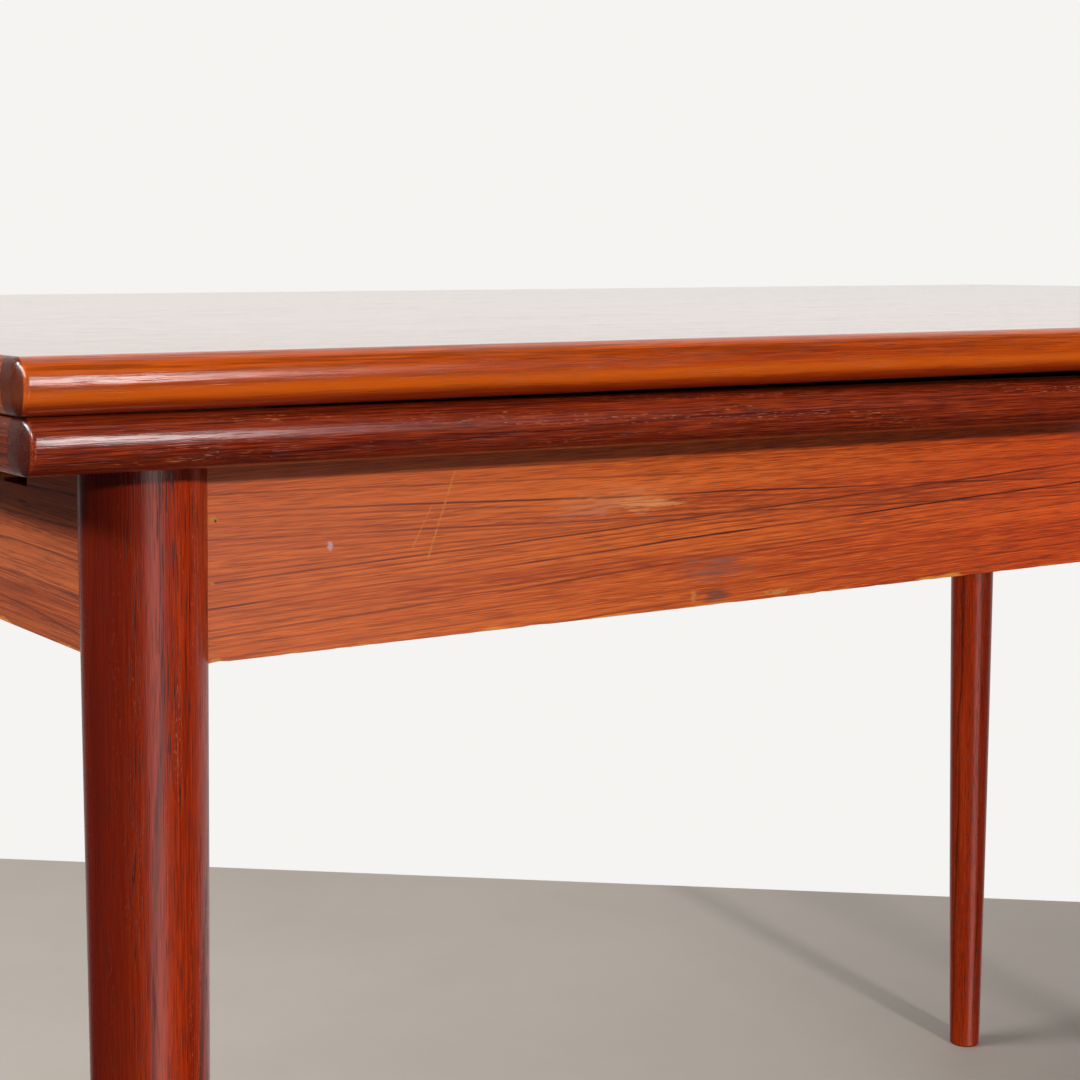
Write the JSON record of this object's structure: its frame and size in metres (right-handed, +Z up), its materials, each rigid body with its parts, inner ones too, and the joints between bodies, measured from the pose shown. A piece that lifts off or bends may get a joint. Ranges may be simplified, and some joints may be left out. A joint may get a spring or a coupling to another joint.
{
  "type": "draw leaf table",
  "caption": "Rectangular teak draw-leaf dining table on round tapered legs, with a leaf stored under each end of its top.",
  "frame": {"origin": "on the floor, under the middle of the table top", "axes": "+X along the table's length, the way the right leaf draws out; +Y across its width, towards the back; +Z up"},
  "size_m": [1.3, 0.91, 0.72],
  "materials": {
    "teak_veneer": "oiled",
    "teak_top_edging": "oiled",
    "teak_leaf_edging": "oiled",
    "teak_leg": "polished",
    "teak_apron": "satin",
    "teak_plain": "bare",
    "beech_block": "bare",
    "beech_dowel": "bare",
    "steel_screw": "bright"
  },
  "bodies": {
    "frame": {"apron_back": "teak_apron", "apron_front": "teak_apron", "apron_left": "teak_apron", "apron_right": "teak_apron", "centre_board": "teak_plain", "centre_board_screws": "steel_screw", "corner_block_back_left": "beech_block", "corner_block_back_right": "beech_block", "corner_block_front_left": "beech_block", "corner_block_front_right": "beech_block", "dowels": "beech_dowel", "glue_block_back_left": "beech_block", "glue_block_back_right": "beech_block", "glue_block_front_left": "beech_block", "glue_block_front_right": "beech_block", "guide_rail": "teak_plain", "leg_back_left": "teak_leg", "leg_back_right": "teak_leg", "leg_front_left": "teak_leg", "leg_front_right": "teak_leg", "runner_block_left_back": "beech_block", "runner_block_left_front": "beech_block", "runner_block_right_back": "beech_block", "runner_block_right_front": "beech_block"},
    "left_leaf": {"left_bearer_back": "teak_plain", "left_bearer_front": "teak_plain", "left_bearer_screws": "steel_screw", "left_leaf_edging_back": "teak_leaf_edging", "left_leaf_edging_front": "teak_leaf_edging", "left_leaf_edging_outer": "teak_leaf_edging", "left_leaf_lipping": "teak_leaf_edging", "left_leaf_panel": "teak_veneer", "left_stop_block_back": "beech_block", "left_stop_block_front": "beech_block", "left_stop_screws": "steel_screw"},
    "right_leaf": {"right_bearer_back": "teak_plain", "right_bearer_front": "teak_plain", "right_bearer_screws": "steel_screw", "right_leaf_edging_back": "teak_leaf_edging", "right_leaf_edging_front": "teak_leaf_edging", "right_leaf_edging_outer": "teak_leaf_edging", "right_leaf_lipping": "teak_leaf_edging", "right_leaf_panel": "teak_veneer", "right_stop_block_back": "beech_block", "right_stop_block_front": "beech_block", "right_stop_screws": "steel_screw"},
    "tabletop": {"keeper_screws": "steel_screw", "peg_keeper_left": "beech_block", "peg_keeper_right": "beech_block", "top_edging_back": "teak_top_edging", "top_edging_front": "teak_top_edging", "top_edging_left": "teak_top_edging", "top_edging_right": "teak_top_edging", "top_panel": "teak_veneer", "top_peg_left": "beech_block", "top_peg_right": "beech_block"}
  },
  "joints": [
    {"name": "left_leaf_draw", "type": "slide", "parent": "frame", "child": "left_leaf", "axis": [-0.9992, 0, 0.0411], "range_m": [0, 0.485]},
    {"name": "right_leaf_draw", "type": "slide", "parent": "frame", "child": "right_leaf", "axis": [0.9992, 0, 0.0411], "range_m": [0, 0.485]},
    {"name": "top_lift", "type": "slide", "parent": "frame", "child": "tabletop", "axis": [0, 0, 1], "range_m": [0, 0.018]}
  ],
  "couplings": [
    {"joint": "right_leaf_draw", "follows": "left_leaf_draw", "ratio": 1},
    {"joint": "top_lift", "follows": "left_leaf_draw", "ratio": 0.034517}
  ]
}
